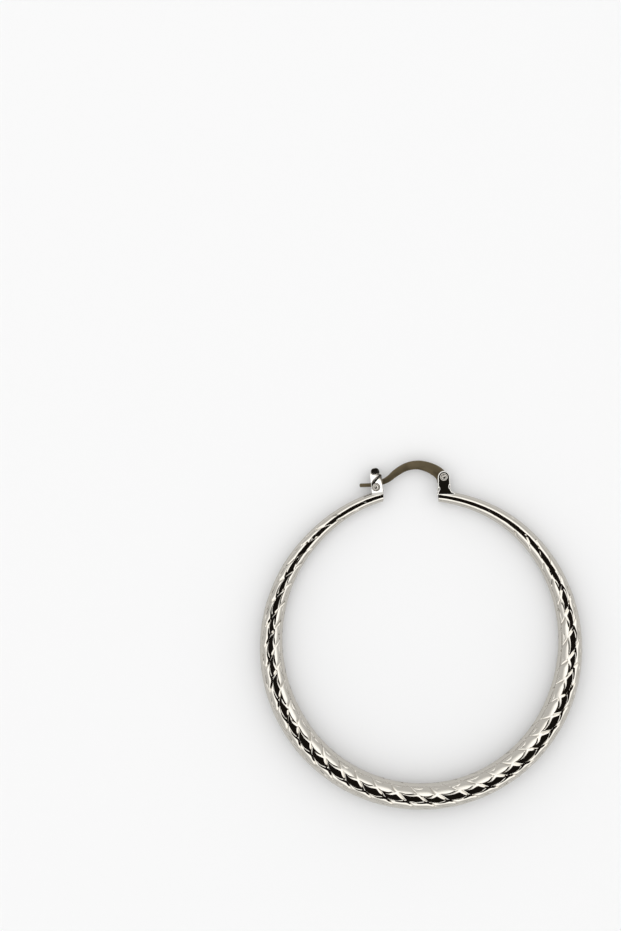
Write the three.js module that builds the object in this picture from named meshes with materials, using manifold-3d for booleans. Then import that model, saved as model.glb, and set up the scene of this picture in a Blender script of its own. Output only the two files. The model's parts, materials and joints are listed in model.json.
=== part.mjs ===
// A hinged hoop earring, lying closed on its side. The hoop is a hollow tapered tube, with a
// hinge fork and a catch bracket soldered to its two ends. A flat ear wire swings on a rivet
// in the fork, and snaps between the ears of the catch, where it rests on a second rivet.
// Millimetres, +Z up, closure towards +Y, resting on the plane z = 0.
//
// Every piece is drawn in the hoop's own flat frame: the ring's centre at the origin and the
// middle plane of the tube, the fork, the catch and the wire at z = 0. The last section lays
// the finished earring down, and moves the origin to the bottom centre of its box.

import * as THREE from 'three';
import { mergeVertices } from 'three/addons/utils/BufferGeometryUtils.js';
import Module from 'manifold-3d';

const wasm = await Module();
wasm.setup();

// ---- Driving dimensions ------------------------------------------------------------------

const TUBE = {
  outerRadius: 30,      // the ring's outer edge
  thickWidth: 4.97,     // across the tube, opposite the closure
  thinWidth: 2.1,       // across the tube, where the two ends would meet
  taperStart: 55,       // degrees round the ring from the thickest place
  taperEnd: 180,
  thickestAt: -86,      // direction of the thickest place, degrees from +X
  wall: 0.35,
  catchEndX: -7.0,      // both ends are sawn straight, square to X
  hingeEndX: 3.25,
  catchEndDrift: 0.35,  // the catch end is sprung slightly outwards,
  hingeEndDrift: -0.4,  // and the hinge end slightly inwards
  driftStart: 135,
  driftEnd: 172,
  blankReach: 174,      // degrees that the tube reaches each way before it is sawn
  boreReach: 175,
  sides: 24,
  boreSides: 12,
  steps: 72,
};

const WIRE = {
  thickness: 0.72,
  endThickness: 0.66,   // pressed thinner where it runs between the ears,
  hingeThinX: 2.95,     // from here to the eye
  catchThinX: -6.7,     // and from here to the tip
  edgeSteps: 40,
  tipChamfer: 0.14,
  eyeRadius: 0.93,      // round the hinge rivet
  heelX: 3.02,          // the heel, a blunt corner that stops the wire on the fork's floor
  heelY: 30.74,
  heelChamfer: 0.12,
  heelTopY: 32.2,       // where the heel runs out of the wire's inner edge
  heelBendY: 31.67,
};

// The wire's middle line, from the tip to the middle of the hinge, and its width there.
const WIRE_STATIONS = [
  { x: -11.4, y: 30.3, width: 0.6 },
  { x: -9.6, y: 30.36, width: 0.64 },
  { x: -8.37, y: 30.52, width: 0.76 },
  { x: -7.05, y: 30.97, width: 0.92 },
  { x: -5.86, y: 31.62, width: 1.06 },
  { x: -4.74, y: 32.62, width: 1.16 },
  { x: -3.35, y: 33.53, width: 1.24 },
  { x: -1.95, y: 34.03, width: 1.34 },
  { x: -0.55, y: 34.17, width: 1.43 },
  { x: 0.84, y: 33.94, width: 1.56 },
  { x: 2.1, y: 33.47, width: 1.7 },
  { x: 3.2, y: 32.8, width: 1.82 },
  { x: 4.24, y: 31.86, width: 1.86 },
];

const SLOT = 0.86;          // between the two ears, in the fork and in the catch
const PIN_PLAY = 0.05;      // round each rivet's shank, and under its heads

const FORK = {
  centre: new THREE.Vector2(4.24, 31.86),
  headRadius: 1.15,
  depth: 2.1,               // over both ears
  footBottom: 28.4,
  footX: 5.5,               // the outer side, just above the flare
  footY: 29.9,
  flareX: 6.4,              // where the flare runs out on the tube
  flareY: 28.95,
  slotFloorDrop: 1.3,       // from the rivet down to the slot's floor
};

// The catch stands square to the tube, so it leans. Its sizes are measured from its rivet:
// `across` to the hinge side, `up` to the lip.
const CATCH = {
  centre: new THREE.Vector2(-8.37, 29.96),
  lean: 10,                 // degrees
  foot: { up: -1.5, left: -1.0, right: 1.05 },
  bend: { up: 2.4, left: -0.66, right: 1.42 },
  shoulder: 0.3,            // the right side steps in to the lip over this height
  lip: { across: 0.31, radius: 0.81, top: 3.62 },
  depthUp: -0.95,           // where the ears start to close in
  footDepth: 2.6,           // over both ears, at the foot, the bend and the lip
  bendDepth: 1.6,
  lipDepth: 2.36,
  mouth: 1.6,               // between the two lips at the top
  slotFloorDrop: 0.62,
  seatRadius: 0.78,         // a flat seat round each rivet head
  seatDepth: 2.24,          // over both seats
};

const RIVET = {
  shankRadius: 0.4,
  headRadius: 0.7,
  headHeight: 0.2,
  rimHeight: 0.1,
  crownRadius: 0.46,
  sides: 20,
};

const ARC_SEGMENTS = 14;    // in each round edge of the closure's pieces
const BLANK = 8;            // larger than any piece of the closure: blanks and cutters start so

// ---- Solids from three.js geometry ---------------------------------------------------------

// A closed geometry as a solid that can be cut and joined.
function toSolid(geometry) {
  const bare = geometry.index ? geometry.toNonIndexed() : geometry.clone();
  bare.deleteAttribute('normal');
  bare.deleteAttribute('uv');
  const merged = mergeVertices(bare, 1e-4);
  return new wasm.Manifold(new wasm.Mesh({
    numProp: 3,
    vertProperties: new Float32Array(merged.attributes.position.array),
    triVerts: new Uint32Array(merged.index.array),
  }));
}

// A finished solid as a geometry.
function toGeometry(solid) {
  const mesh = solid.getMesh();
  const geometry = new THREE.BufferGeometry();
  geometry.setAttribute('position', new THREE.BufferAttribute(mesh.vertProperties, 3));
  geometry.setIndex(new THREE.BufferAttribute(mesh.triVerts, 1));
  geometry.computeVertexNormals();
  return geometry;
}

// A plate with this outline in the XY plane, centred on z = 0.
function plate(shape, depth) {
  const geometry = new THREE.ExtrudeGeometry(shape, {
    depth,
    bevelEnabled: false,
    curveSegments: ARC_SEGMENTS,
  });
  return toSolid(geometry.translate(0, 0, -depth / 2));
}

// A bar along X whose section is given by points (y, z).
function bar(sectionPoints, xFrom, xTo) {
  const shape = new THREE.Shape(sectionPoints.map(([y, z]) => new THREE.Vector2(y, z)));
  const geometry = new THREE.ExtrudeGeometry(shape, { depth: xTo - xFrom, bevelEnabled: false });
  geometry.applyMatrix4(new THREE.Matrix4().set(
    0, 0, 1, xFrom,
    1, 0, 0, 0,
    0, 1, 0, 0,
    0, 0, 0, 1,
  ));
  return toSolid(geometry);
}

// A round pin along Z at the origin, used to cut holes, seats and notches.
function pin(radius, zFrom = -BLANK / 2, zTo = BLANK / 2) {
  const geometry = new THREE.CylinderGeometry(radius, radius, zTo - zFrom, RIVET.sides);
  geometry.rotateX(Math.PI / 2);
  return toSolid(geometry.translate(0, 0, (zFrom + zTo) / 2));
}

// ---- Hoop ----------------------------------------------------------------------------------

// Width of the tube at an angle from its thickest place.
function tubeWidth(angle) {
  const thinness = THREE.MathUtils.smoothstep(Math.abs(angle), TUBE.taperStart, TUBE.taperEnd);
  return THREE.MathUtils.lerp(TUBE.thickWidth, TUBE.thinWidth, thinness);
}

// Radius of the tube's middle line at that angle: the outer edge stays on one circle, apart
// from the drift of the two ends.
function middleRadius(angle) {
  const drift = angle < 0 ? TUBE.catchEndDrift : TUBE.hingeEndDrift;
  const amount = THREE.MathUtils.smoothstep(Math.abs(angle), TUBE.driftStart, TUBE.driftEnd);
  return TUBE.outerRadius - tubeWidth(angle) / 2 + drift * amount;
}

// A straight round bar, bent round the ring and tapered. Its surface lies `inset` inside the
// tube's outer surface, and it reaches `reach` degrees to both sides of the thickest place.
function bentTube(inset, sides, reach) {
  const corners = Array.from({ length: sides }, (_, i) => {
    const turn = (2 * Math.PI * i) / sides;
    return new THREE.Vector2(Math.cos(turn), Math.sin(turn));
  });
  const geometry = new THREE.ExtrudeGeometry(new THREE.Shape(corners), {
    depth: 1,
    steps: TUBE.steps,
    bevelEnabled: false,
  });
  const positions = geometry.attributes.position;
  for (let i = 0; i < positions.count; i += 1) {
    const angle = THREE.MathUtils.lerp(reach, -reach, positions.getZ(i));
    const direction = THREE.MathUtils.degToRad(TUBE.thickestAt + angle);
    const radius = tubeWidth(angle) / 2 - inset;
    const out = middleRadius(angle) + positions.getX(i) * radius;
    const up = positions.getY(i) * radius;
    positions.setXYZ(i, out * Math.cos(direction), out * Math.sin(direction), up);
  }
  return toSolid(geometry);
}

// Two ears with a slot between them: a front outline crossed with a side outline. The sides
// are lists of [height, half depth], from the bottom up, for the outside and for the slot.
function twoEared(outline, outside, slot) {
  const bothSides = (side) => [...side.slice().reverse(), ...side.map(([y, z]) => [y, -z])];
  return plate(outline, BLANK)
    .intersect(bar(bothSides(outside), -BLANK, BLANK))
    .subtract(bar(bothSides(slot), -BLANK, BLANK));
}

// The fork is drawn from its rivet, like the catch.
function hingeFork() {
  const { centre, headRadius, depth } = FORK;
  const bottom = FORK.footBottom - centre.y;
  const flare = new THREE.Vector2(FORK.flareX, FORK.flareY).sub(centre);
  const foot = new THREE.Vector2(FORK.footX, FORK.footY).sub(centre);
  const outline = new THREE.Shape();
  outline.moveTo(-headRadius, bottom);
  outline.lineTo(flare.x, bottom);
  outline.lineTo(flare.x, flare.y);
  outline.quadraticCurveTo(foot.x, flare.y, foot.x, foot.y);
  outline.absarc(0, 0, headRadius, 0, Math.PI, false);
  outline.closePath();
  const outside = [[-BLANK, depth / 2], [BLANK, depth / 2]];
  const slot = [[-FORK.slotFloorDrop, SLOT / 2], [BLANK, SLOT / 2]];
  return twoEared(outline, outside, slot)
    .subtract(pin(RIVET.shankRadius + PIN_PLAY))
    .translate([centre.x, centre.y, 0]);
}

function catchBracket() {
  const { foot, bend, lip } = CATCH;
  const lipUp = lip.top - lip.radius;
  const outline = new THREE.Shape();
  outline.moveTo(foot.left, foot.up);
  outline.lineTo(foot.right, foot.up);
  outline.lineTo(bend.right, bend.up - CATCH.shoulder);
  outline.lineTo(lip.across + lip.radius, bend.up);
  outline.absarc(lip.across, lipUp, lip.radius, 0, Math.PI, false);
  outline.lineTo(bend.left, bend.up);
  outline.closePath();
  const outside = [
    [-BLANK, CATCH.footDepth / 2],
    [CATCH.depthUp, CATCH.footDepth / 2],
    [bend.up, CATCH.bendDepth / 2],
    [lip.top, CATCH.lipDepth / 2],
    [BLANK, CATCH.lipDepth / 2],
  ];
  const slot = [
    [-CATCH.slotFloorDrop, SLOT / 2],
    [bend.up, SLOT / 2],
    [lip.top, CATCH.mouth / 2],
    [BLANK, CATCH.mouth / 2],
  ];
  return twoEared(outline, outside, slot)
    .subtract(pin(CATCH.seatRadius, CATCH.seatDepth / 2))
    .subtract(pin(CATCH.seatRadius, -BLANK / 2, -CATCH.seatDepth / 2))
    .subtract(pin(RIVET.shankRadius + PIN_PLAY))
    .rotate([0, 0, CATCH.lean])
    .translate([CATCH.centre.x, CATCH.centre.y, 0]);
}

function hoopGeometry() {
  const gapWidth = TUBE.hingeEndX - TUBE.catchEndX;
  const gap = new THREE.BoxGeometry(gapWidth, BLANK, BLANK);
  gap.translate(TUBE.catchEndX + gapWidth / 2, TUBE.outerRadius - TUBE.thinWidth / 2, 0);
  const solid = bentTube(0, TUBE.sides, TUBE.blankReach)
    .subtract(toSolid(gap))
    .add(hingeFork())
    .add(catchBracket())
    .subtract(bentTube(TUBE.wall, TUBE.boreSides, TUBE.boreReach));
  return toGeometry(solid);
}

// ---- Ear wire ------------------------------------------------------------------------------

// Points along one edge of the wire, from tip to hinge: side 1 is the outer edge, -1 the inner.
function wireEdge(side) {
  const line = new THREE.SplineCurve(WIRE_STATIONS.map(({ x, y }) => new THREE.Vector2(x, y)));
  const spans = WIRE_STATIONS.length - 1;
  const points = [];
  for (let i = 0; i <= WIRE.edgeSteps; i += 1) {
    const t = i / WIRE.edgeSteps;
    const station = Math.min(Math.floor(t * spans), spans - 1);
    const width = THREE.MathUtils.lerp(
      WIRE_STATIONS[station].width,
      WIRE_STATIONS[station + 1].width,
      t * spans - station,
    );
    const tangent = line.getTangent(t);
    const point = line.getPoint(t);
    point.x -= (side * tangent.y * width) / 2;
    point.y += (side * tangent.x * width) / 2;
    points.push(point);
  }
  return points;
}

// A cutter for one broad side of the wire's ends, over the stretch between two X: the wire's
// side there is left at half the thinner end's thickness.
function endCutter(side, xFrom, xTo) {
  const near = (side * WIRE.endThickness) / 2;
  const far = (side * BLANK) / 2;
  const low = FORK.footBottom;
  const section = [[low, near], [low + BLANK, near], [low + BLANK, far], [low, far]];
  return bar(side > 0 ? section : section.reverse(), xFrom, xTo);
}

function earWireGeometry() {
  const outer = wireEdge(1);
  const inner = wireEdge(-1).filter((point) => point.y > WIRE.heelTopY || point.x < 0);
  const hinge = FORK.centre;
  const shape = new THREE.Shape();
  shape.moveTo(inner[0].x + WIRE.tipChamfer, inner[0].y);
  shape.lineTo(inner[0].x, inner[0].y + WIRE.tipChamfer);
  shape.lineTo(outer[0].x, outer[0].y - WIRE.tipChamfer);
  shape.lineTo(outer[0].x + WIRE.tipChamfer, outer[0].y);
  outer.slice(1).forEach((point) => shape.lineTo(point.x, point.y));
  const end = outer[outer.length - 1];
  const from = Math.atan2(end.y - hinge.y, end.x - hinge.x);
  shape.absarc(hinge.x, hinge.y, WIRE.eyeRadius, from, -Math.PI / 2, true);
  shape.lineTo(WIRE.heelX + WIRE.heelChamfer, WIRE.heelY);
  shape.lineTo(WIRE.heelX, WIRE.heelY + WIRE.heelChamfer);
  const join = inner[inner.length - 1];
  shape.quadraticCurveTo(WIRE.heelX, WIRE.heelBendY, join.x, join.y);
  inner.slice(1, -1).reverse().forEach((point) => shape.lineTo(point.x, point.y));
  shape.closePath();
  const hole = pin(RIVET.shankRadius + PIN_PLAY);
  const solid = plate(shape, WIRE.thickness)
    .subtract(hole.translate([hinge.x, hinge.y, 0]))
    .subtract(hole.translate([CATCH.centre.x, CATCH.centre.y, 0]))
    .subtract(endCutter(1, WIRE.hingeThinX, WIRE.hingeThinX + BLANK))
    .subtract(endCutter(-1, WIRE.hingeThinX, WIRE.hingeThinX + BLANK))
    .subtract(endCutter(1, WIRE.catchThinX - BLANK, WIRE.catchThinX))
    .subtract(endCutter(-1, WIRE.catchThinX - BLANK, WIRE.catchThinX));
  return toGeometry(solid);
}

// ---- Rivets --------------------------------------------------------------------------------

// A pin with a low domed head on each side, over ears that are `grip` deep.
function rivetGeometry(centre, grip) {
  const under = grip / 2 + PIN_PLAY;
  const half = [
    [RIVET.shankRadius, under],
    [RIVET.headRadius, under],
    [RIVET.headRadius, under + RIVET.rimHeight],
    [RIVET.crownRadius, under + RIVET.headHeight],
    [0, under + RIVET.headHeight],
  ];
  const lower = [...half].reverse().map(([radius, height]) => [radius, -height]);
  const profile = [...lower, ...half].map(([radius, height]) => new THREE.Vector2(radius, height));
  const geometry = new THREE.LatheGeometry(profile, RIVET.sides);
  geometry.rotateX(Math.PI / 2);
  return geometry.translate(centre.x, centre.y, 0);
}

// ---- The earring ---------------------------------------------------------------------------

const polishedMetal = { color: 0xdedede, roughness: 0.08, metalness: 1 };
const satinMetal = { color: 0x8f8878, roughness: 0.38, metalness: 1 };

function addMesh(group, name, geometry, finish) {
  const mesh = new THREE.Mesh(geometry, new THREE.MeshStandardMaterial(finish));
  mesh.name = name;
  group.add(mesh);
}

const flat = new THREE.Group();
addMesh(flat, 'hoop', hoopGeometry(), polishedMetal);
addMesh(flat, 'ear_wire', earWireGeometry(), satinMetal);
addMesh(flat, 'hinge_rivet', rivetGeometry(FORK.centre, FORK.depth), polishedMetal);
addMesh(flat, 'catch_rivet', rivetGeometry(CATCH.centre, CATCH.seatDepth), polishedMetal);

// Volume and centre of mass of a closed geometry, from the tetrahedra under its triangles.
function massOf(geometry) {
  const bare = geometry.index ? geometry.toNonIndexed() : geometry;
  const positions = bare.attributes.position;
  const corners = [new THREE.Vector3(), new THREE.Vector3(), new THREE.Vector3()];
  const moment = new THREE.Vector3();
  let volume = 0;
  for (let i = 0; i < positions.count; i += 3) {
    corners.forEach((corner, k) => corner.fromBufferAttribute(positions, i + k));
    const [a, b, c] = corners;
    const part = a.dot(b.clone().cross(c)) / 6;
    volume += part;
    moment.addScaledVector(a.add(b).add(c), part / 4);
  }
  return { volume, moment };
}

// Seen from the side, the earring rests on the edge of its lower hull that is under its centre
// of mass. This is the slope of that edge: the thick tube is deeper than the thin ends and the
// closure, so the closure end sinks a little.
function restingAngle(geometries) {
  const points = [];
  let volume = 0;
  let momentY = 0;
  geometries.forEach((geometry) => {
    const positions = geometry.attributes.position;
    for (let i = 0; i < positions.count; i += 1) {
      points.push(new THREE.Vector2(positions.getY(i), positions.getZ(i)));
    }
    const mass = massOf(geometry);
    volume += mass.volume;
    momentY += mass.moment.y;
  });
  const balance = momentY / volume;
  points.sort((a, b) => a.x - b.x || a.y - b.y);
  const hull = [];
  points.forEach((point) => {
    while (hull.length > 1) {
      const edge = hull[hull.length - 1].clone().sub(hull[hull.length - 2]);
      if (edge.cross(point.clone().sub(hull[hull.length - 1])) > 0) break;
      hull.pop();
    }
    hull.push(point);
  });
  const after = hull.findIndex((point) => point.x > balance);
  return hull[after].sub(hull[after - 1]).angle();
}

flat.rotation.x = -restingAngle(flat.children.map((mesh) => mesh.geometry));
const earring = new THREE.Group();
earring.name = 'hoop_earring';
earring.add(flat);
const box = new THREE.Box3().setFromObject(earring, true);
const middle = box.getCenter(new THREE.Vector3());
flat.position.set(-middle.x, -middle.y, -box.min.z);

export default earring;
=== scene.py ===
import json
import math

import bpy
import numpy as np
from mathutils import Matrix, Vector


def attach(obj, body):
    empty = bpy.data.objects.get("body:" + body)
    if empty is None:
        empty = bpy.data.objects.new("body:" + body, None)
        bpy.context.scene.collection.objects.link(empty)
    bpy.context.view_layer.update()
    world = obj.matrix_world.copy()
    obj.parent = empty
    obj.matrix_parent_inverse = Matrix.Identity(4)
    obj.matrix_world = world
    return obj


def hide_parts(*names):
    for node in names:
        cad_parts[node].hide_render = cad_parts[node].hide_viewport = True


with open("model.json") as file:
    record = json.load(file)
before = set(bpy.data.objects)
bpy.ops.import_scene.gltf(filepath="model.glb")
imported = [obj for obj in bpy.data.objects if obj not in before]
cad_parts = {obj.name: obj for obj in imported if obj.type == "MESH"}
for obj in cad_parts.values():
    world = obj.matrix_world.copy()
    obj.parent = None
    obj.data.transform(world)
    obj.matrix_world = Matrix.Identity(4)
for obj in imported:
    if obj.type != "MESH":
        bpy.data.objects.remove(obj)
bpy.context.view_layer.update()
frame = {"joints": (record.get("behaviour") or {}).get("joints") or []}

# ---- How the earring lies -------------------------------------------------------------------
# Every piece is drawn in the hoop's own flat frame, in millimetres: the ring's centre at the
# origin, the middle of the tube at z = 0 and the closure towards +Y. The hinge's place and axis
# in the frame say where that flat drawing lies on the table.

hinge_joint = frame["joints"][0]
hinge_centre = Vector((4.24, 31.86, 0.0))
upright = -Vector(hinge_joint["axis"])
flat_to_table = (
    Matrix.Translation(Vector(hinge_joint["pos_m"]))
    @ Matrix.Rotation(-math.atan2(upright.y, upright.z), 4, "X")
    @ Matrix.Scale(0.001, 4)
    @ Matrix.Translation(-hinge_centre)
)


def lay_down(piece, body):
    """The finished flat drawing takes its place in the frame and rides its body."""
    piece.data.transform(flat_to_table)
    piece.data.update()
    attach(piece, body)


# ---- Hoop tube ------------------------------------------------------------------------------
# A drawn tube of thin white metal, engraved all round with rows of pointed, arched scales,
# then bent to a ring and sawn off straight at both ends. The cuts fade out towards the thin
# ends, which stay plain. The bore is open at both ends.

outer_radius = 30.0
thick_width = 4.97
thin_width = 2.1
thickest_at = -86.0      # degrees round the ring. The angles below are counted from here
taper_start = 55.0
taper_end = 180.0
wall = 0.35
crest_shift = 0.64       # the thick part is fuller outwards, by this much along its crest
catch_side_less = 0.38   # and less so on the catch's side, by this share
less_start = -20.0
less_end = 40.0
catch_end_x = -7.0
hinge_end_x = 3.25
ends_above_y = 20.0
catch_end_drift = 0.35   # the thin ends stray this far off the circle
hinge_end_drift = -0.4
drift_start = 135.0
drift_end = 172.0
tube_reach = 174.0
weld_gap = 1e-4
saw_gap = 1e-5

scale_pitch = 8.0        # degrees of the ring that one scale takes
scale_rows = 12          # round the section
turn_cells = 6           # scales that a row has moved on by after one turn round the section
row_shift = turn_cells / scale_rows
row_phase = 0.95         # rows, from the outer edge to the first row
arch_height = 0.45       # of a row's width
arch_skew = 0.75         # under 1, the arch is highest before its middle
arch_run_start = 0.55    # of a scale, where an arched cut starts to run out
arch_run_end = 0.84
arch_strength = 0.85
side_lean = 0.13         # each side cut is steeper than the line of tips, by this much of a scale
side_end = 0.85          # of a row's width, where it stops
side_run_before = 0.12
side_run_past = 0.08
side_strength = 1.0
arch_width = 0.13        # half width of the long arched cuts,
arch_depth = 0.08
side_width = 0.19        # and of the short side cuts
side_depth = 0.115
flatten = 0.012          # each scale is flatter than the round tube, by this much in its middle
flatten_edge = 0.35
straight_radius = 10.0   # of the straight tube, before it is bent

# How far the engraver's hand strays along the ring and across the rows, in scales, and in the
# arches' height and the cuts' depth, as shares of them.
hand_along = 0.08
hand_across = 0.1
hand_arch = 0.4
hand_depth = 0.3

# Where the cuts fade out towards the thin ends, and down the sides from the top of the section.
hinge_side_shorter = 14.0
arch_fade = (114.0, 136.0)
side_fade = (118.0, 138.0)
stray_fade = (152.0, 168.0)
stray_above = 0.4
stray_strength = 0.9
shallower = 0.6
shallower_fade = (32.0, 60.0)
smooth_tube_below = 19.0

# Where the mesh lines lie within one scale: close together beside the cuts.
along_stops = [0.0, 0.035, 0.07, 0.105, 0.19, 0.3, 0.43, 0.56, 0.69, 0.81, 0.895, 0.93, 0.965]
across_stops = [0.0, 0.044, 0.088, 0.132, 0.28, 0.48, 0.68, 0.82, 0.868, 0.912, 0.956]


def only(piece):
    """Nothing else is selected or active."""
    if bpy.context.object and bpy.context.object.mode == "EDIT":
        bpy.ops.object.mode_set(mode="OBJECT")
    bpy.ops.object.select_all(action="DESELECT")
    piece.select_set(True)
    bpy.context.view_layer.objects.active = piece


def points_of(piece):
    points = np.empty(len(piece.data.vertices) * 3)
    piece.data.vertices.foreach_get("co", points)
    return points.reshape(-1, 3)


def move_points(piece, points):
    piece.data.vertices.foreach_set("co", np.ascontiguousarray(points, float).ravel())
    piece.data.update()


def smoothstep(value, low, high):
    t = np.clip((value - low) / (high - low), 0.0, 1.0)
    return t * t * (3.0 - 2.0 * t)


def tube_width(angle):
    taper = smoothstep(np.abs(angle), taper_start, taper_end)
    return thick_width + (thin_width - thick_width) * taper


def bend_round(piece, inset):
    """A straight tube along X, with degrees as its length, becomes the tapered ring."""
    points = points_of(piece)
    angle = -points[:, 0]
    section = np.arctan2(points[:, 2], points[:, 1])
    height = np.hypot(points[:, 1], points[:, 2]) - straight_radius
    width = tube_width(angle)
    drift = np.where(angle < 0.0, catch_end_drift, hinge_end_drift)
    drift = drift * smoothstep(np.abs(angle), drift_start, drift_end)
    radius = width / 2.0 - inset + height
    fullness = (width - thin_width) / (thick_width - thin_width)
    side = 1.0 - catch_side_less * smoothstep(-angle, less_start, less_end)
    crest = crest_shift * side * (fullness * np.sin(section)) ** 2
    out = outer_radius - width / 2.0 + drift + radius * np.cos(section) + crest
    direction = np.radians(thickest_at + angle)
    bent = np.stack([out * np.cos(direction), out * np.sin(direction), radius * np.sin(section)], 1)
    move_points(piece, bent)


def rolled_grid(name, columns, rows):
    """A flat grid with its column and row numbers as x and y, ready to be rolled up."""
    bpy.ops.mesh.primitive_grid_add(x_subdivisions=columns, y_subdivisions=rows, size=2.0)
    piece = bpy.context.object
    piece.name = name
    points = points_of(piece)
    points[:, 0] = np.round((points[:, 0] + 1.0) / 2.0 * columns)
    points[:, 1] = np.round((points[:, 1] + 1.0) / 2.0 * rows)
    return piece, points[:, 0].astype(int), points[:, 1].astype(int)


def saw_ends(piece):
    """Cuts the two ends off square to X, and leaves them open."""
    for plane_x, clears_right in ((catch_end_x, True), (hinge_end_x, False)):
        only(piece)
        bpy.ops.object.mode_set(mode="EDIT")
        bpy.ops.mesh.select_all(action="DESELECT")
        bpy.ops.object.mode_set(mode="OBJECT")
        centres = np.array([polygon.center[:2] for polygon in piece.data.polygons])
        middle = (catch_end_x + hinge_end_x) / 2.0
        near = (centres[:, 1] > ends_above_y) & ((centres[:, 0] < middle) == clears_right)
        piece.data.polygons.foreach_set("select", near)
        bpy.ops.object.mode_set(mode="EDIT")
        bpy.ops.mesh.bisect(
            plane_co=(plane_x, 0.0, 0.0),
            plane_no=(1.0, 0.0, 0.0),
            clear_inner=not clears_right,
            clear_outer=clears_right,
            threshold=saw_gap,
        )
        bpy.ops.object.mode_set(mode="OBJECT")


def engraved_tube():
    along = np.array(along_stops)
    across = np.array(across_stops)
    cells = math.ceil(2.0 * tube_reach / scale_pitch) + turn_cells + 1
    piece, column, row = rolled_grid("hoop_tube", cells * len(along), scale_rows * len(across))
    cell = column // len(along)
    band = row // len(across)
    s = along[column % len(along)]
    t = across[row % len(across)]

    # The engraver's hand: each scale is a little off its place, its height and its depth.
    hand = np.random.default_rng(11)
    tables = {
        name: hand.uniform(-1.0, 1.0, (cells + 2 * turn_cells + 2, scale_rows))
        for name in ("along", "across", "arch", "arch_cut", "side_cut", "presence")
    }

    def of_corner(name, cell_number, band_number):
        turns = band_number // scale_rows
        return tables[name][cell_number + turn_cells * turns, band_number % scale_rows]

    def within(name):
        near = of_corner(name, cell, band) * (1 - s) + of_corner(name, cell + 1, band) * s
        far = of_corner(name, cell, band + 1) * (1 - s) + of_corner(name, cell + 1, band + 1) * s
        return near * (1 - t) + far * t

    arch = arch_height * (1.0 + hand_arch * (of_corner("arch", cell, band) * (1 - t)
                                             + of_corner("arch", cell, band + 1) * t))
    back = np.clip((t - side_end) / (1.0 - side_end), 0.0, 1.0)
    lean_in = side_lean * (0.5 - np.clip(t / side_end, 0.0, 1.0) + back)
    place_along = cell + s + (band + t) * row_shift + lean_in + hand_along * within("along")
    length = place_along * scale_pitch - tube_reach - turn_cells * scale_pitch
    angle = -length
    arched = arch * np.sin(np.pi * s ** arch_skew)
    place_across = band + t - arched + hand_across * within("across") + row_phase
    section = 2.0 * np.pi * place_across / scale_rows
    row_width = np.pi * tube_width(angle) / scale_rows
    cell_length = math.radians(scale_pitch) * (outer_radius - thick_width / 2.0)
    lean = np.sin(np.arctan2(row_width, row_shift * cell_length))

    def cut(distance, width, strength, hand_at_corner):
        return (strength + hand_depth * hand_at_corner) * np.clip(1.0 - distance / width, 0.0, 1.0)

    arch_run = 1.0 - smoothstep(s, arch_run_start, arch_run_end)
    arch_cut = arch_run * np.maximum(
        cut(t * row_width, arch_width, arch_strength, of_corner("arch_cut", cell, band)),
        cut((1 - t) * row_width, arch_width, arch_strength, of_corner("arch_cut", cell, band + 1)),
    )
    side_run = 1.0 - smoothstep(t, side_end - side_run_before, side_end + side_run_past)
    scale_length = cell_length * lean
    side_cut = side_run * np.maximum(
        cut(s * scale_length, side_width, side_strength, of_corner("side_cut", cell, band)),
        cut((1 - s) * scale_length, side_width, side_strength, of_corner("side_cut", cell + 1, band)),
    )
    # The rows stop sooner on the hinge side. A few single side cuts go on past them.
    past = np.where(angle > 0.0, angle + hinge_side_shorter, -angle)
    arch_left = 1.0 - smoothstep(past, *arch_fade)
    stray = stray_strength * (of_corner("presence", cell, band) > stray_above)
    side_left = np.maximum(
        1.0 - smoothstep(past, *side_fade), stray * (1.0 - smoothstep(past, *stray_fade)))
    from_top = np.abs((section + np.pi / 2.0) % (2.0 * np.pi) - np.pi)
    pressed = 1.0 - shallower * smoothstep(np.degrees(from_top), *shallower_fade)
    dish = 4.0 * t * (1 - t) * np.clip(4.0 * s * (1 - s), 0, 1) ** flatten_edge
    depth = np.maximum(arch_cut * arch_left * arch_depth, side_cut * side_left * side_depth) * pressed
    height = -flatten * dish * arch_left * tube_width(angle) / thick_width - depth
    radius = straight_radius + height
    straight = np.stack([length, radius * np.cos(section), radius * np.sin(section)], 1)
    move_points(piece, straight)
    worn = piece.data.attributes.new("cut", "FLOAT", "POINT")
    worn.data.foreach_set("value", np.clip(depth / arch_depth, 0.0, 1.0))

    only(piece)
    bpy.ops.object.mode_set(mode="EDIT")
    bpy.ops.mesh.select_all(action="SELECT")
    bpy.ops.mesh.remove_doubles(threshold=weld_gap)
    for end in (-tube_reach, tube_reach):
        bpy.ops.mesh.select_all(action="SELECT")
        bpy.ops.mesh.bisect(
            plane_co=(end, 0.0, 0.0),
            plane_no=(1.0, 0.0, 0.0),
            clear_inner=end < 0,
            clear_outer=end > 0,
            threshold=saw_gap,
        )
    bpy.ops.object.mode_set(mode="OBJECT")
    bend_round(piece, 0.0)
    saw_ends(piece)
    return piece


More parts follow.
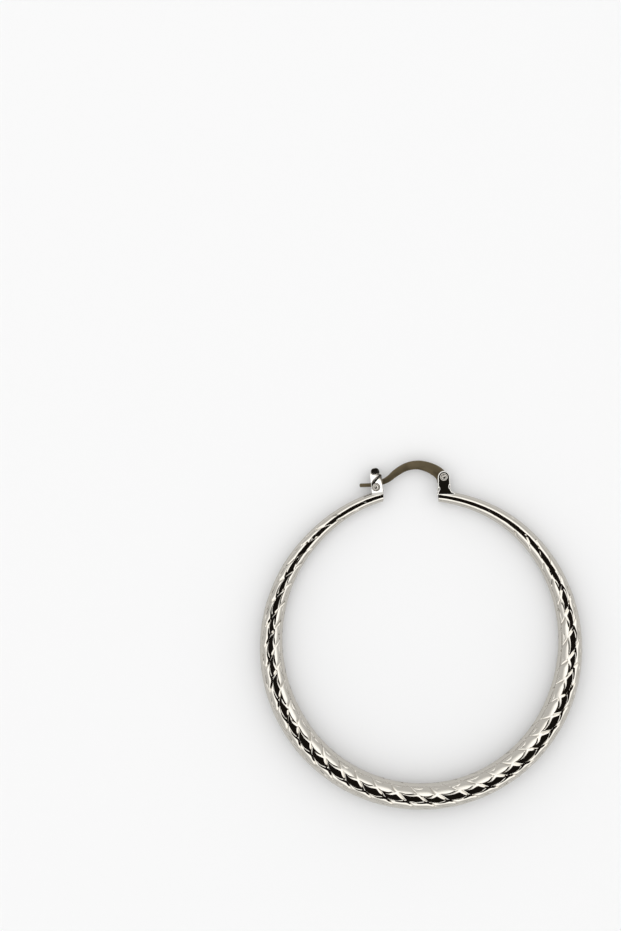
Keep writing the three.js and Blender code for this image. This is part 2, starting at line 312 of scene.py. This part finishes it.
def plain_bore(sawn):
    """The bore's surface, sawn off with the tube, or closed and longer than it to cut with."""
    rings = 96
    sides = 28
    piece, column, row = rolled_grid("hoop_bore", rings, sides)
    length = (2.0 * column / rings - 1.0) * tube_reach
    section = -2.0 * np.pi * row / sides
    across = straight_radius * np.cos(section)
    upward = straight_radius * np.sin(section)
    move_points(piece, np.stack([length, across, upward], 1))
    only(piece)
    bpy.ops.object.mode_set(mode="EDIT")
    bpy.ops.mesh.select_all(action="SELECT")
    bpy.ops.mesh.remove_doubles(threshold=weld_gap)
    bpy.ops.object.mode_set(mode="OBJECT")
    bend_round(piece, wall)
    if sawn:
        saw_ends(piece)
        return piece
    only(piece)
    bpy.ops.object.mode_set(mode="EDIT")
    bpy.ops.mesh.select_all(action="SELECT")
    bpy.ops.mesh.fill_holes(sides=0)
    bpy.ops.mesh.normals_make_consistent(inside=False)
    bpy.ops.object.mode_set(mode="OBJECT")
    return piece


def close_ends(piece):
    """Bridges each sawn end from the outside of the wall to the bore."""
    for plane_x in (catch_end_x, hinge_end_x):
        only(piece)
        bpy.ops.object.mode_set(mode="EDIT")
        bpy.ops.mesh.select_mode(type="EDGE")
        bpy.ops.mesh.select_all(action="SELECT")
        bpy.ops.mesh.region_to_loop()
        bpy.ops.object.mode_set(mode="OBJECT")
        points = points_of(piece)
        for edge in piece.data.edges:
            ends = points[list(edge.vertices)]
            edge.select = edge.select and bool(np.all(np.abs(ends[:, 0] - plane_x) < 0.01))
        bpy.ops.object.mode_set(mode="EDIT")
        bpy.ops.mesh.bridge_edge_loops()
        bpy.ops.mesh.select_mode(type="FACE")
        bpy.ops.object.mode_set(mode="OBJECT")


hoop_tube = engraved_tube()
hoop_bore = plain_bore(sawn=True)
only(hoop_tube)
hoop_bore.select_set(True)
bpy.ops.object.join()
only(hoop_tube)
close_ends(hoop_tube)
only(hoop_tube)
bpy.ops.object.mode_set(mode="EDIT")
bpy.ops.mesh.select_all(action="SELECT")
bpy.ops.mesh.normals_make_consistent(inside=False)
bpy.ops.object.mode_set(mode="OBJECT")
bpy.ops.object.shade_smooth_by_angle(angle=math.radians(smooth_tube_below))


# Wear that all the polished pieces share: fine scratches from handling, and faint smears.
def handling_wear_group():
    group = bpy.data.node_groups.new("handling_wear", "ShaderNodeTree")
    for name, value in (("Scratches", 0.5), ("Smears", 0.5), ("Polish", 0.08)):
        socket = group.interface.new_socket(name, in_out="INPUT", socket_type="NodeSocketFloat")
        socket.default_value = value
    group.interface.new_socket("Roughness", in_out="OUTPUT", socket_type="NodeSocketFloat")
    group.interface.new_socket("Height", in_out="OUTPUT", socket_type="NodeSocketFloat")
    nodes = group.nodes
    links = group.links
    inputs = nodes.new("NodeGroupInput")
    outputs = nodes.new("NodeGroupOutput")
    coordinates = nodes.new("ShaderNodeTexCoord")
    lines = None
    for turn, stretch in ((0.4, 26.0), (-0.9, 22.0)):
        mapping = nodes.new("ShaderNodeMapping")
        mapping.inputs["Rotation"].default_value = (0.3, 0.2, turn)
        mapping.inputs["Scale"].default_value = (1000.0, 1000.0 * stretch, 1000.0 * stretch)
        links.new(coordinates.outputs["Object"], mapping.inputs["Vector"])
        noise = nodes.new("ShaderNodeTexNoise")
        noise.inputs["Scale"].default_value = 1.0
        noise.inputs["Detail"].default_value = 2.0
        links.new(mapping.outputs["Vector"], noise.inputs["Vector"])
        thin = nodes.new("ShaderNodeMapRange")
        thin.inputs["From Min"].default_value = 0.6
        thin.inputs["From Max"].default_value = 0.75
        links.new(noise.outputs["Fac"], thin.inputs["Value"])
        if lines is None:
            lines = thin.outputs["Result"]
        else:
            both = nodes.new("ShaderNodeMath")
            both.operation = "MAXIMUM"
            links.new(lines, both.inputs[0])
            links.new(thin.outputs["Result"], both.inputs[1])
            lines = both.outputs["Value"]
    scratches = nodes.new("ShaderNodeMath")
    scratches.operation = "MULTIPLY"
    links.new(lines, scratches.inputs[0])
    links.new(inputs.outputs["Scratches"], scratches.inputs[1])
    smear_scale = nodes.new("ShaderNodeMapping")
    smear_scale.inputs["Scale"].default_value = (1000.0, 1000.0, 1000.0)
    links.new(coordinates.outputs["Object"], smear_scale.inputs["Vector"])
    smear_noise = nodes.new("ShaderNodeTexNoise")
    smear_noise.inputs["Scale"].default_value = 0.55
    smear_noise.inputs["Detail"].default_value = 5.0
    links.new(smear_scale.outputs["Vector"], smear_noise.inputs["Vector"])
    smears = nodes.new("ShaderNodeMapRange")
    smears.inputs["From Min"].default_value = 0.45
    smears.inputs["From Max"].default_value = 0.8
    links.new(smear_noise.outputs["Fac"], smears.inputs["Value"])
    smear_amount = nodes.new("ShaderNodeMath")
    smear_amount.operation = "MULTIPLY_ADD"
    links.new(smears.outputs["Result"], smear_amount.inputs[0])
    links.new(inputs.outputs["Smears"], smear_amount.inputs[1])
    links.new(inputs.outputs["Polish"], smear_amount.inputs[2])
    total = nodes.new("ShaderNodeMath")
    total.operation = "MULTIPLY_ADD"
    links.new(scratches.outputs["Value"], total.inputs[0])
    total.inputs[1].default_value = 0.2
    links.new(smear_amount.outputs["Value"], total.inputs[2])
    links.new(total.outputs["Value"], outputs.inputs["Roughness"])
    links.new(scratches.outputs["Value"], outputs.inputs["Height"])
    return group


handling_wear = handling_wear_group()


def worn_metal(name, color, scratches, smears, polish):
    """A polished metal with the shared wear."""
    material = bpy.data.materials.new(name)
    material.use_nodes = True
    nodes = material.node_tree.nodes
    links = material.node_tree.links
    shader = nodes["Principled BSDF"]
    shader.inputs["Base Color"].default_value = (*color, 1.0)
    shader.inputs["Metallic"].default_value = 1.0
    wear = nodes.new("ShaderNodeGroup")
    wear.node_tree = handling_wear
    wear.inputs["Scratches"].default_value = scratches
    wear.inputs["Smears"].default_value = smears
    wear.inputs["Polish"].default_value = polish
    links.new(wear.outputs["Roughness"], shader.inputs["Roughness"])
    bump = nodes.new("ShaderNodeBump")
    bump.inputs["Strength"].default_value = 0.25
    bump.inputs["Distance"].default_value = 0.000004
    bump.invert = True
    links.new(wear.outputs["Height"], bump.inputs["Height"])
    links.new(bump.outputs["Normal"], shader.inputs["Normal"])
    return material


hoop_color = (0.54, 0.515, 0.467)
tarnish_color = (0.46, 0.43, 0.375)


def hoop_metal():
    """The hoop's polish, a little tarnished in the deep of the cuts."""
    material = worn_metal("polished_hoop_metal", hoop_color, scratches=0.35, smears=0.08, polish=0.045)
    nodes = material.node_tree.nodes
    links = material.node_tree.links
    cut = nodes.new("ShaderNodeAttribute")
    cut.attribute_name = "cut"
    tarnish = nodes.new("ShaderNodeMix")
    tarnish.data_type = "RGBA"
    tarnish.inputs["A"].default_value = (*hoop_color, 1.0)
    tarnish.inputs["B"].default_value = (*tarnish_color, 1.0)
    deep = nodes.new("ShaderNodeMapRange")
    deep.inputs["From Min"].default_value = 0.55
    deep.inputs["From Max"].default_value = 1.0
    links.new(cut.outputs["Fac"], deep.inputs["Value"])
    links.new(deep.outputs["Result"], tarnish.inputs["Factor"])
    links.new(tarnish.outputs["Result"], nodes["Principled BSDF"].inputs["Base Color"])
    return material


hoop_tube.data.materials.clear()
hoop_tube.data.materials.append(hoop_metal())
lay_down(hoop_tube, "hoop_body")
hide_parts("hoop")


# ---- Hinge fork -----------------------------------------------------------------------------
# A milled fork of the same white metal, soldered on the hinge end of the tube, with its foot
# flared along it. The ear wire swings in its slot.

wire_slot = 0.43         # half the gap between the two ears
fork_head = 1.15
fork_depth = 1.05        # half the depth over both ears
fork_foot_y = 28.5       # inside the tube, where the fork starts
fork_foot_x = 6.4        # how far its flared foot goes along the tube
flare_start_y = 28.98
flare_end_y = 29.9
fork_side_x = 5.5
fork_rounding = 0.5
fork_slot_below = 1.3    # from the rivet to the slot's floor
beyond_fork_x = 9.0
beyond_fork_y = 34.0
pin_hole = 0.45
closure_color = (0.7, 0.685, 0.65)

# Where the solder has run out on the fork's faces, and the size of each bead.
solder_beads = (
    (3.3, 29.6, (0.26, 0.5, 0.12)),
    (5.3, 30.1, (0.22, 0.5, 0.12)),
)
first_bead_seed = 3


def arc(x, y, radius, start, end, steps):
    turns = np.radians(np.linspace(start, end, steps))
    return [(x + radius * math.cos(turn), y + radius * math.sin(turn)) for turn in turns]


def bow(start, pull, end, steps):
    """A curve from start to end that is pulled towards a third point."""
    return [
        tuple((1 - k) ** 2 * a + 2 * k * (1 - k) * b + k * k * c for a, b, c in zip(start, pull, end))
        for k in np.linspace(0.0, 1.0, steps)
    ]


def plate(name, outline, low, high):
    """A plate with this outline, from one height to the other."""
    bpy.ops.mesh.primitive_circle_add(vertices=len(outline), fill_type="NGON")
    piece = bpy.context.object
    piece.name = name
    move_points(piece, np.array([(x, y, low) for x, y in outline]))
    only(piece)
    bpy.ops.object.mode_set(mode="EDIT")
    bpy.ops.mesh.select_all(action="SELECT")
    bpy.ops.mesh.extrude_region_move(TRANSFORM_OT_translate={"value": (0.0, 0.0, high - low)})
    bpy.ops.mesh.select_all(action="SELECT")
    bpy.ops.mesh.normals_make_consistent(inside=False)
    bpy.ops.object.mode_set(mode="OBJECT")
    return piece


def bar_along_x(name, outline, low, high):
    """The same, with the outline drawn in Y and Z."""
    piece = plate(name, outline, low, high)
    piece.data.transform(Matrix(((0, 0, 1, 0), (1, 0, 0, 0), (0, 1, 0, 0), (0, 0, 0, 1))))
    return piece


def cut_with(piece, cutter, operation="DIFFERENCE"):
    modifier = piece.modifiers.new("cut", "BOOLEAN")
    modifier.operation = operation
    modifier.solver = "EXACT"
    modifier.object = cutter
    only(piece)
    bpy.ops.object.modifier_apply(modifier="cut")
    bpy.data.objects.remove(cutter)


def drill(piece, place, length, radius=pin_hole, sides=40):
    bpy.ops.mesh.primitive_cylinder_add(vertices=sides, radius=radius, depth=length, location=place)
    cut_with(piece, bpy.context.object)


def round_edges(piece, width, segments, sharper_than):
    modifier = piece.modifiers.new("round", "BEVEL")
    modifier.width = width
    modifier.segments = segments
    modifier.limit_method = "ANGLE"
    modifier.angle_limit = math.radians(sharper_than)
    only(piece)
    bpy.ops.object.modifier_apply(modifier="round")


def finish_metal(piece, material, smooth_below=35.0):
    only(piece)
    bpy.ops.object.shade_smooth_by_angle(angle=math.radians(smooth_below))
    piece.data.materials.clear()
    piece.data.materials.append(material)


fork_x, fork_y = hinge_centre.x, hinge_centre.y
fork_outline = (
    [(fork_x - fork_head, fork_foot_y), (fork_foot_x, fork_foot_y)]
    + bow((fork_foot_x, flare_start_y), (fork_side_x, flare_start_y), (fork_side_x, flare_end_y), 7)
    + arc(fork_x, fork_y, fork_head, 0.0, 180.0, 25)
)
hinge_fork = plate("hinge_fork", fork_outline, -fork_depth, fork_depth)
round_edges(hinge_fork, fork_rounding, 5, 50.0)
fork_floor = fork_y - fork_slot_below + wire_slot
fork_slot = (
    [(beyond_fork_y, -wire_slot), (beyond_fork_y, wire_slot)]
    + arc(fork_floor, 0.0, wire_slot, 90.0, 270.0, 11)
)
cut_with(hinge_fork, bar_along_x("fork_slot", fork_slot, 0.0, beyond_fork_x))
drill(hinge_fork, hinge_centre, 6.0)
cut_with(hinge_fork, plain_bore(sawn=False))


def solder_bead(name, place, size, seed):
    """A low run-out bead of solder, lying on a face of the closure."""
    bpy.ops.mesh.primitive_uv_sphere_add(segments=28, ring_count=16, radius=1.0)
    piece = bpy.context.object
    piece.name = name
    only(piece)
    bpy.ops.object.mode_set(mode="EDIT")
    bpy.ops.mesh.select_all(action="SELECT")
    bpy.ops.transform.vertex_random(offset=0.05, uniform=0.0, normal=1.0, seed=seed)
    bpy.ops.mesh.vertices_smooth(factor=0.5, repeat=3)
    bpy.ops.transform.resize(value=size)
    bpy.ops.transform.translate(value=place)
    bpy.ops.object.mode_set(mode="OBJECT")
    return piece


closure_metal = worn_metal(
    "polished_closure_metal", closure_color, scratches=0.3, smears=0.1, polish=0.05)
finish_metal(hinge_fork, closure_metal)
lay_down(hinge_fork, "hoop_body")
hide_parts("hoop")
for side in (1.0, -1.0):
    for number, (x, y, size) in enumerate(solder_beads):
        bead = solder_bead("fork_solder", (x, y, side * fork_depth), size, first_bead_seed + number)
        finish_metal(bead, closure_metal)
        lay_down(bead, "hoop_body")
        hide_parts("hoop")


# ---- Catch bracket --------------------------------------------------------------------------
# A bent two-eared bracket of white metal, soldered square to the catch end of the tube, so it
# leans. The ears close in towards the bend, then flare out to two domed lips that guide the
# ear wire in. A rivet joins them, seated in a shallow recess.

catch_centre = Vector((-8.37, 29.96, 0.0))
catch_lean = math.radians(10.0)
foot_y = -1.5            # inside the tube, where the catch starts
foot_left_x = -1.0
foot_right_x = 1.05
bend_left_x = -0.66
bend_y = 2.4
shoulder = (1.42, bend_y - 0.3)
lip_x = 0.31
lip_radius = 0.81
lip_top = 3.62
catch_slot_below = 0.62  # from the rivet to the slot's floor
catch_blank = 3.0        # half the depth of the blank that it is cut from
filed_slope = 0.2
filed_below = 2.2
filed_outside = 0.6
recess_radius = 0.8
recess_floor = 0.97      # height of the recess above the middle of the tube
recess_cutter = 1.0

# Height and half depth up an ear's outer face, then from the lip's edge back down to the slot.
ear_front = [
    (-2.2, 0.75), (-1.55, 0.92), (-1.2, 1.16), (-1.0, 1.29), (-0.84, 1.24), (2.1, 0.79),
    (bend_y, 0.8), (3.3, 1.09), (3.5, 1.1),
]
ear_mouth = [(lip_top, 1.02), (lip_top, 0.84), (3.3, 0.68), (bend_y, wire_slot)]

catch_outline = (
    [(foot_left_x, foot_y), (foot_right_x, foot_y), shoulder, (lip_x + lip_radius, bend_y)]
    + arc(lip_x, lip_top - lip_radius, lip_radius, 0.0, 180.0, 21)
    + [(bend_left_x, bend_y)]
)
catch_bracket = plate("catch_bracket", catch_outline, -catch_blank, catch_blank)
slot_floor = wire_slot - catch_slot_below
catch_sides = (
    ear_front
    + ear_mouth
    + arc(slot_floor, 0.0, wire_slot, 90.0, 270.0, 11)
    + [(y, -z) for y, z in reversed(ear_mouth)]
    + [(y, -z) for y, z in reversed(ear_front)]
)
cut_with(catch_bracket, bar_along_x("catch_sides", catch_sides, -catch_blank, catch_blank), "INTERSECT")
# Below the bend the ears' outer faces are filed off a little towards the catch's free side.
filed = points_of(catch_bracket)
outer_face = (np.abs(filed[:, 2]) > filed_outside) & (filed[:, 1] < filed_below)
filed[:, 2] += outer_face * np.sign(filed[:, 2]) * filed_slope * filed[:, 0]
move_points(catch_bracket, filed)
round_edges(catch_bracket, 0.11, 3, 55.0)
drill(catch_bracket, (0.0, 0.0, 0.0), 6.0)
for side in (1.0, -1.0):
    recess_middle = (0.0, 0.0, side * (recess_floor + recess_cutter / 2.0))
    drill(catch_bracket, recess_middle, recess_cutter, recess_radius, 48)
catch_bracket.data.transform(Matrix.Translation(catch_centre) @ Matrix.Rotation(catch_lean, 4, "Z"))
cut_with(catch_bracket, plain_bore(sawn=False))
finish_metal(catch_bracket, closure_metal, 20.0)
lay_down(catch_bracket, "hoop_body")
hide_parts("hoop")


# ---- Ear wire -------------------------------------------------------------------------------
# Stamped from warm grey spring sheet and tumbled satin. Its upright sheared sides are painted darker, as
# painted shade along the edges over their sheared finish. It has an eye for the hinge rivet, a blunt
# heel below it, and a notch that sits on the catch rivet.

wire_half = 0.36
wire_fuller = 0.04       # on both sides of the widths below
arch_fuller = 0.19       # and this share more on the lower side of the arch
arch_fuller_fade = (31.5, 33.2)
eye_radius = 0.93
heel_x, heel_y = 3.02, 30.74
heel_chamfer = 0.12
heel_straight = 0.2
heel_pull_y = 31.67
heel_clear_y = 32.2
tip_chamfer = 0.14
wire_rounding = 0.09
face_limit = 0.8         # a face more upright than this is a sheared side, painted darker as shade
wire_color = (0.15, 0.12, 0.073)
# The sides' colour is darker than the wire's: painted shade along the edges, over their sheared finish.
sheared_shaded_color = (0.07, 0.055, 0.035)

# X, Y and width along the middle of the wire, from the tab to the hinge.
wire_middle = [
    (-11.4, 30.3, 0.6), (-9.6, 30.36, 0.64), (-8.37, 30.52, 0.76), (-7.05, 30.97, 0.92),
    (-5.86, 31.62, 1.06), (-4.74, 32.62, 1.16), (-3.35, 33.53, 1.24), (-1.95, 34.03, 1.34),
    (-0.55, 34.17, 1.43), (0.84, 33.94, 1.56), (2.1, 33.47, 1.7), (3.2, 32.8, 1.82),
    (4.24, 31.86, 1.86),
]


def smooth_line(stations, steps):
    """An even curve through the stations, with all their numbers blended."""
    points = np.array([stations[0]] + list(stations) + [stations[-1]])
    line = []
    for place in np.linspace(0.0, len(stations) - 1, steps):
        k = min(int(place), len(stations) - 2)
        t = place - k
        a, b, c, d = points[k:k + 4]
        line.append(0.5 * (2 * b + (c - a) * t + (2 * a - 5 * b + 4 * c - d) * t * t
                           + (3 * b - a - 3 * c + d) * t ** 3))
    return np.array(line)


middle_line = smooth_line(wire_middle, 60)
along_line = np.gradient(middle_line[:, :2], axis=0)
along_line /= np.linalg.norm(along_line, axis=1)[:, None]
sideways = np.stack([-along_line[:, 1], along_line[:, 0]], 1) * (middle_line[:, 2:] / 2.0 + wire_fuller)
upper = middle_line[:, :2] + sideways
under_arch = 1.0 + arch_fuller * smoothstep(middle_line[:, 1:2], *arch_fuller_fade)
lower = middle_line[:, :2] - sideways * under_arch
lower = lower[(lower[:, 1] > heel_clear_y) | (lower[:, 0] < 0.0)]
eye_start = math.degrees(math.atan2(upper[-1][1] - fork_y, upper[-1][0] - fork_x))
wire_outline = (
    [(lower[0][0] + tip_chamfer, lower[0][1]), (lower[0][0], lower[0][1] + tip_chamfer)]
    + [(upper[0][0], upper[0][1] - tip_chamfer), (upper[0][0] + tip_chamfer, upper[0][1])]
    + [tuple(point) for point in upper[1:]]
    + arc(fork_x, fork_y, eye_radius, eye_start, -90.0, 25)[1:]
    + [(heel_x + heel_chamfer, heel_y), (heel_x, heel_y + heel_chamfer)]
    + bow((heel_x, heel_y + heel_straight), (heel_x, heel_pull_y), tuple(lower[-1]), 7)
    + [tuple(point) for point in lower[-2:0:-1]]
)
ear_wire = plate("ear_wire", wire_outline, -wire_half, wire_half)
drill(ear_wire, catch_centre, 4.0)
round_edges(ear_wire, wire_rounding, 3, 50.0)
drill(ear_wire, hinge_centre, 4.0)
wire_metal = worn_metal("satin_wire_metal", wire_color, scratches=0.6, smears=0.3, polish=0.42)
sheared_shaded_metal = worn_metal("sheared_edge_shade_metal", sheared_shaded_color, scratches=0.3, smears=0.3, polish=0.45)
finish_metal(ear_wire, wire_metal)
ear_wire.data.materials.append(sheared_shaded_metal)
# Upright faces take the darker metal, as painted shade on the wire's sides.
for polygon in ear_wire.data.polygons:
    if abs(polygon.normal.z) < face_limit:
        polygon.material_index = 1
lay_down(ear_wire, "wire_body")
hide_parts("ear_wire")


# ---- Rivets ---------------------------------------------------------------------------------
# Two short rivets of the same white metal, one through the fork and one through the catch.
# The punch has left a ring round a small boss in each domed head.

shank_radius = 0.4
head_gap = 0.05          # between the fork's face and the head
rivet_color = (0.5, 0.475, 0.43)

# Radius, height above the ear, and share of the sideways slip of the punch mark.
head_profile = [
    (shank_radius, 0.0, 0.0), (0.66, 0.0, 0.0), (0.7, 0.03, 0.0), (0.71, 0.08, 0.0), (0.67, 0.14, 0.0),
    (0.6, 0.185, 0.0), (0.51, 0.2, 0.2), (0.44, 0.19, 0.6), (0.37, 0.13, 1.0), (0.29, 0.105, 1.0),
    (0.22, 0.105, 1.0), (0.14, 0.14, 1.0), (0.05, 0.15, 1.0),
]


def rivet(name, centre, ear_height, slip):
    rings = [(radius, ear_height + rise, slide) for radius, rise, slide in head_profile]
    rings = [(radius, -height, slide) for radius, height, slide in reversed(rings)] + rings
    bpy.ops.mesh.primitive_circle_add(vertices=40, radius=rings[0][0], fill_type="NGON")
    piece = bpy.context.object
    piece.name = name
    piece.data.transform(Matrix.Translation((slip[0] * rings[0][2], slip[1] * rings[0][2], rings[0][1])))
    only(piece)
    bpy.ops.object.mode_set(mode="EDIT")
    bpy.ops.mesh.select_all(action="SELECT")
    for (radius, height, slide), (next_radius, next_height, next_slide) in zip(rings, rings[1:]):
        step = ((next_slide - slide) * slip[0], (next_slide - slide) * slip[1], next_height - height)
        bpy.ops.mesh.extrude_region_move(TRANSFORM_OT_translate={"value": step})
        grow = next_radius / radius
        bpy.ops.transform.resize(value=(grow, grow, 1.0), center_override=(
            next_slide * slip[0], next_slide * slip[1], next_height))
    bpy.ops.mesh.select_all(action="SELECT")
    bpy.ops.mesh.normals_make_consistent(inside=False)
    bpy.ops.object.mode_set(mode="OBJECT")
    piece.data.transform(Matrix.Translation(centre))
    finish_metal(piece, rivet_metal, 60.0)
    lay_down(piece, "hoop_body")
    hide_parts(name)


rivet_metal = worn_metal("rivet_metal", rivet_color, scratches=0.3, smears=0.2, polish=0.08)
rivet("hinge_rivet", hinge_centre, fork_depth + head_gap, (0.05, -0.06))
rivet("catch_rivet", catch_centre, recess_floor, (-0.06, -0.05))


# ---- The table and the light ----------------------------------------------------------------
# A plain white table. The room is white all round, brightest high up, with a dark patch overhead
# where the camera and its holder are.

table_size = 1.6
bpy.ops.mesh.primitive_plane_add(size=table_size, location=(0.0, 0.0, 0.0))
table = bpy.context.object
table.name = "table"
table_paint = bpy.data.materials.new("white_table")
table_paint.use_nodes = True
paint = table_paint.node_tree.nodes["Principled BSDF"]
paint.inputs["Base Color"].default_value = (0.9, 0.9, 0.9, 1.0)
paint.inputs["Roughness"].default_value = 0.75
paint.inputs["Specular IOR Level"].default_value = 0.2
table.data.materials.append(table_paint)

overhead_east = 0.11     # of straight up, in radians
overhead_north = -0.12
overhead_radius = 0.56
overhead_blur = 0.03
overhead_light = 0.012
overhead_tint = (1.0, 0.85, 0.68, 1.0)
high_reach = 0.25        # from the patch's edge, as far as the room is at its brightest,
low_reach = 0.55         # and from here on at its dimmest
high_light = 2.05
low_light = 0.85
room_light = 0.955
off_the_metal = 0.3


def white_room():
    world = bpy.data.worlds.new("white_room")
    bpy.context.scene.world = world
    world.use_nodes = True
    nodes = world.node_tree.nodes
    links = world.node_tree.links
    background = nodes["Background"]
    coordinates = nodes.new("ShaderNodeTexCoord")
    axes = nodes.new("ShaderNodeSeparateXYZ")
    links.new(coordinates.outputs["Generated"], axes.inputs["Vector"])

    def value(operation, first, second=0.0, third=0.0):
        node = nodes.new("ShaderNodeMath")
        node.operation = operation
        for socket, given in zip(node.inputs, (first, second, third)):
            if isinstance(given, (int, float)):
                socket.default_value = given
            else:
                links.new(given, socket)
        return node.outputs["Value"]

    def ramp(given, start, end, low=0.0, high=1.0):
        node = nodes.new("ShaderNodeMapRange")
        node.interpolation_type = "SMOOTHSTEP"
        links.new(given, node.inputs["Value"])
        node.inputs["From Min"].default_value = start
        node.inputs["From Max"].default_value = end
        node.inputs["To Min"].default_value = low
        node.inputs["To Max"].default_value = high
        return node.outputs["Result"]

    # East and north of straight up, in radians, as a map of the sky with even spacing.
    x = axes.outputs["X"]
    y = axes.outputs["Y"]
    z = axes.outputs["Z"]
    squares = value("ADD", value("POWER", x, 2.0), value("POWER", y, 2.0))
    across = value("MAXIMUM", value("SQRT", squares), 0.001)
    spread = value("DIVIDE", value("ARCCOSINE", z), across)
    east = value("MULTIPLY", x, spread)
    north = value("MULTIPLY", y, spread)
    from_east = value("POWER", value("SUBTRACT", east, overhead_east), 2.0)
    from_north = value("POWER", value("SUBTRACT", north, overhead_north), 2.0)
    away = value("SQRT", value("ADD", from_east, from_north))
    dark = ramp(away, overhead_radius + overhead_blur, overhead_radius - overhead_blur)
    wall_light = ramp(
        away, overhead_radius + low_reach, overhead_radius + high_reach, low_light, high_light)
    light = value("MULTIPLY", wall_light, value("SUBTRACT", 1.0, dark))
    light = value("MAXIMUM", light, overhead_light)
    # The table is lit evenly from the whole room, and little light reaches it off the metal.
    rays = nodes.new("ShaderNodeLightPath")
    on_table = value("MINIMUM", rays.outputs["Diffuse Depth"], 1.0)
    direct = rays.outputs["Is Diffuse Ray"]
    table_light = value("MULTIPLY_ADD", direct, room_light - off_the_metal, off_the_metal)
    light = value("ADD", light, value("MULTIPLY", on_table, value("SUBTRACT", table_light, light)))
    tint = nodes.new("ShaderNodeMix")
    tint.data_type = "RGBA"
    tint.inputs["A"].default_value = (1.0, 1.0, 1.0, 1.0)
    tint.inputs["B"].default_value = overhead_tint
    links.new(value("SUBTRACT", dark, on_table), tint.inputs["Factor"])
    links.new(tint.outputs["Result"], background.inputs["Color"])
    links.new(light, background.inputs["Strength"])


white_room()

# A broad soft lamp above fills the table. The polished metal doesn't mirror it.
bpy.ops.object.light_add(type="AREA", location=(-0.12, 0.16, 0.7))
lamp = bpy.context.object
lamp.name = "soft_lamp"
lamp.data.shape = "DISK"
lamp.data.size = 0.6
lamp.data.energy = 0.4
lamp.visible_glossy = False
lamp.rotation_euler = (Vector((0.0, 0.0, 0.0)) - lamp.location).to_track_quat("-Z", "Y").to_euler()

# The camera looks straight down on a wider piece of table than the earring takes.
camera_height = 0.55
frame_height = 0.1732
beside_ring_x = -0.02055
beside_ring_y = 0.034
camera = bpy.data.objects.new("camera", bpy.data.cameras.new("camera"))
bpy.context.scene.collection.objects.link(camera)
ring_centre = flat_to_table @ Vector((0.0, 0.0, 0.0))
camera.location = ring_centre + Vector((beside_ring_x, beside_ring_y, camera_height))
camera.data.sensor_width = 36.0
camera.data.lens = 36.0 * camera_height / frame_height
camera.data.dof.use_dof = False
camera.data.clip_start = 0.01
bpy.context.scene.camera = camera
bpy.context.scene.view_settings.view_transform = "Standard"
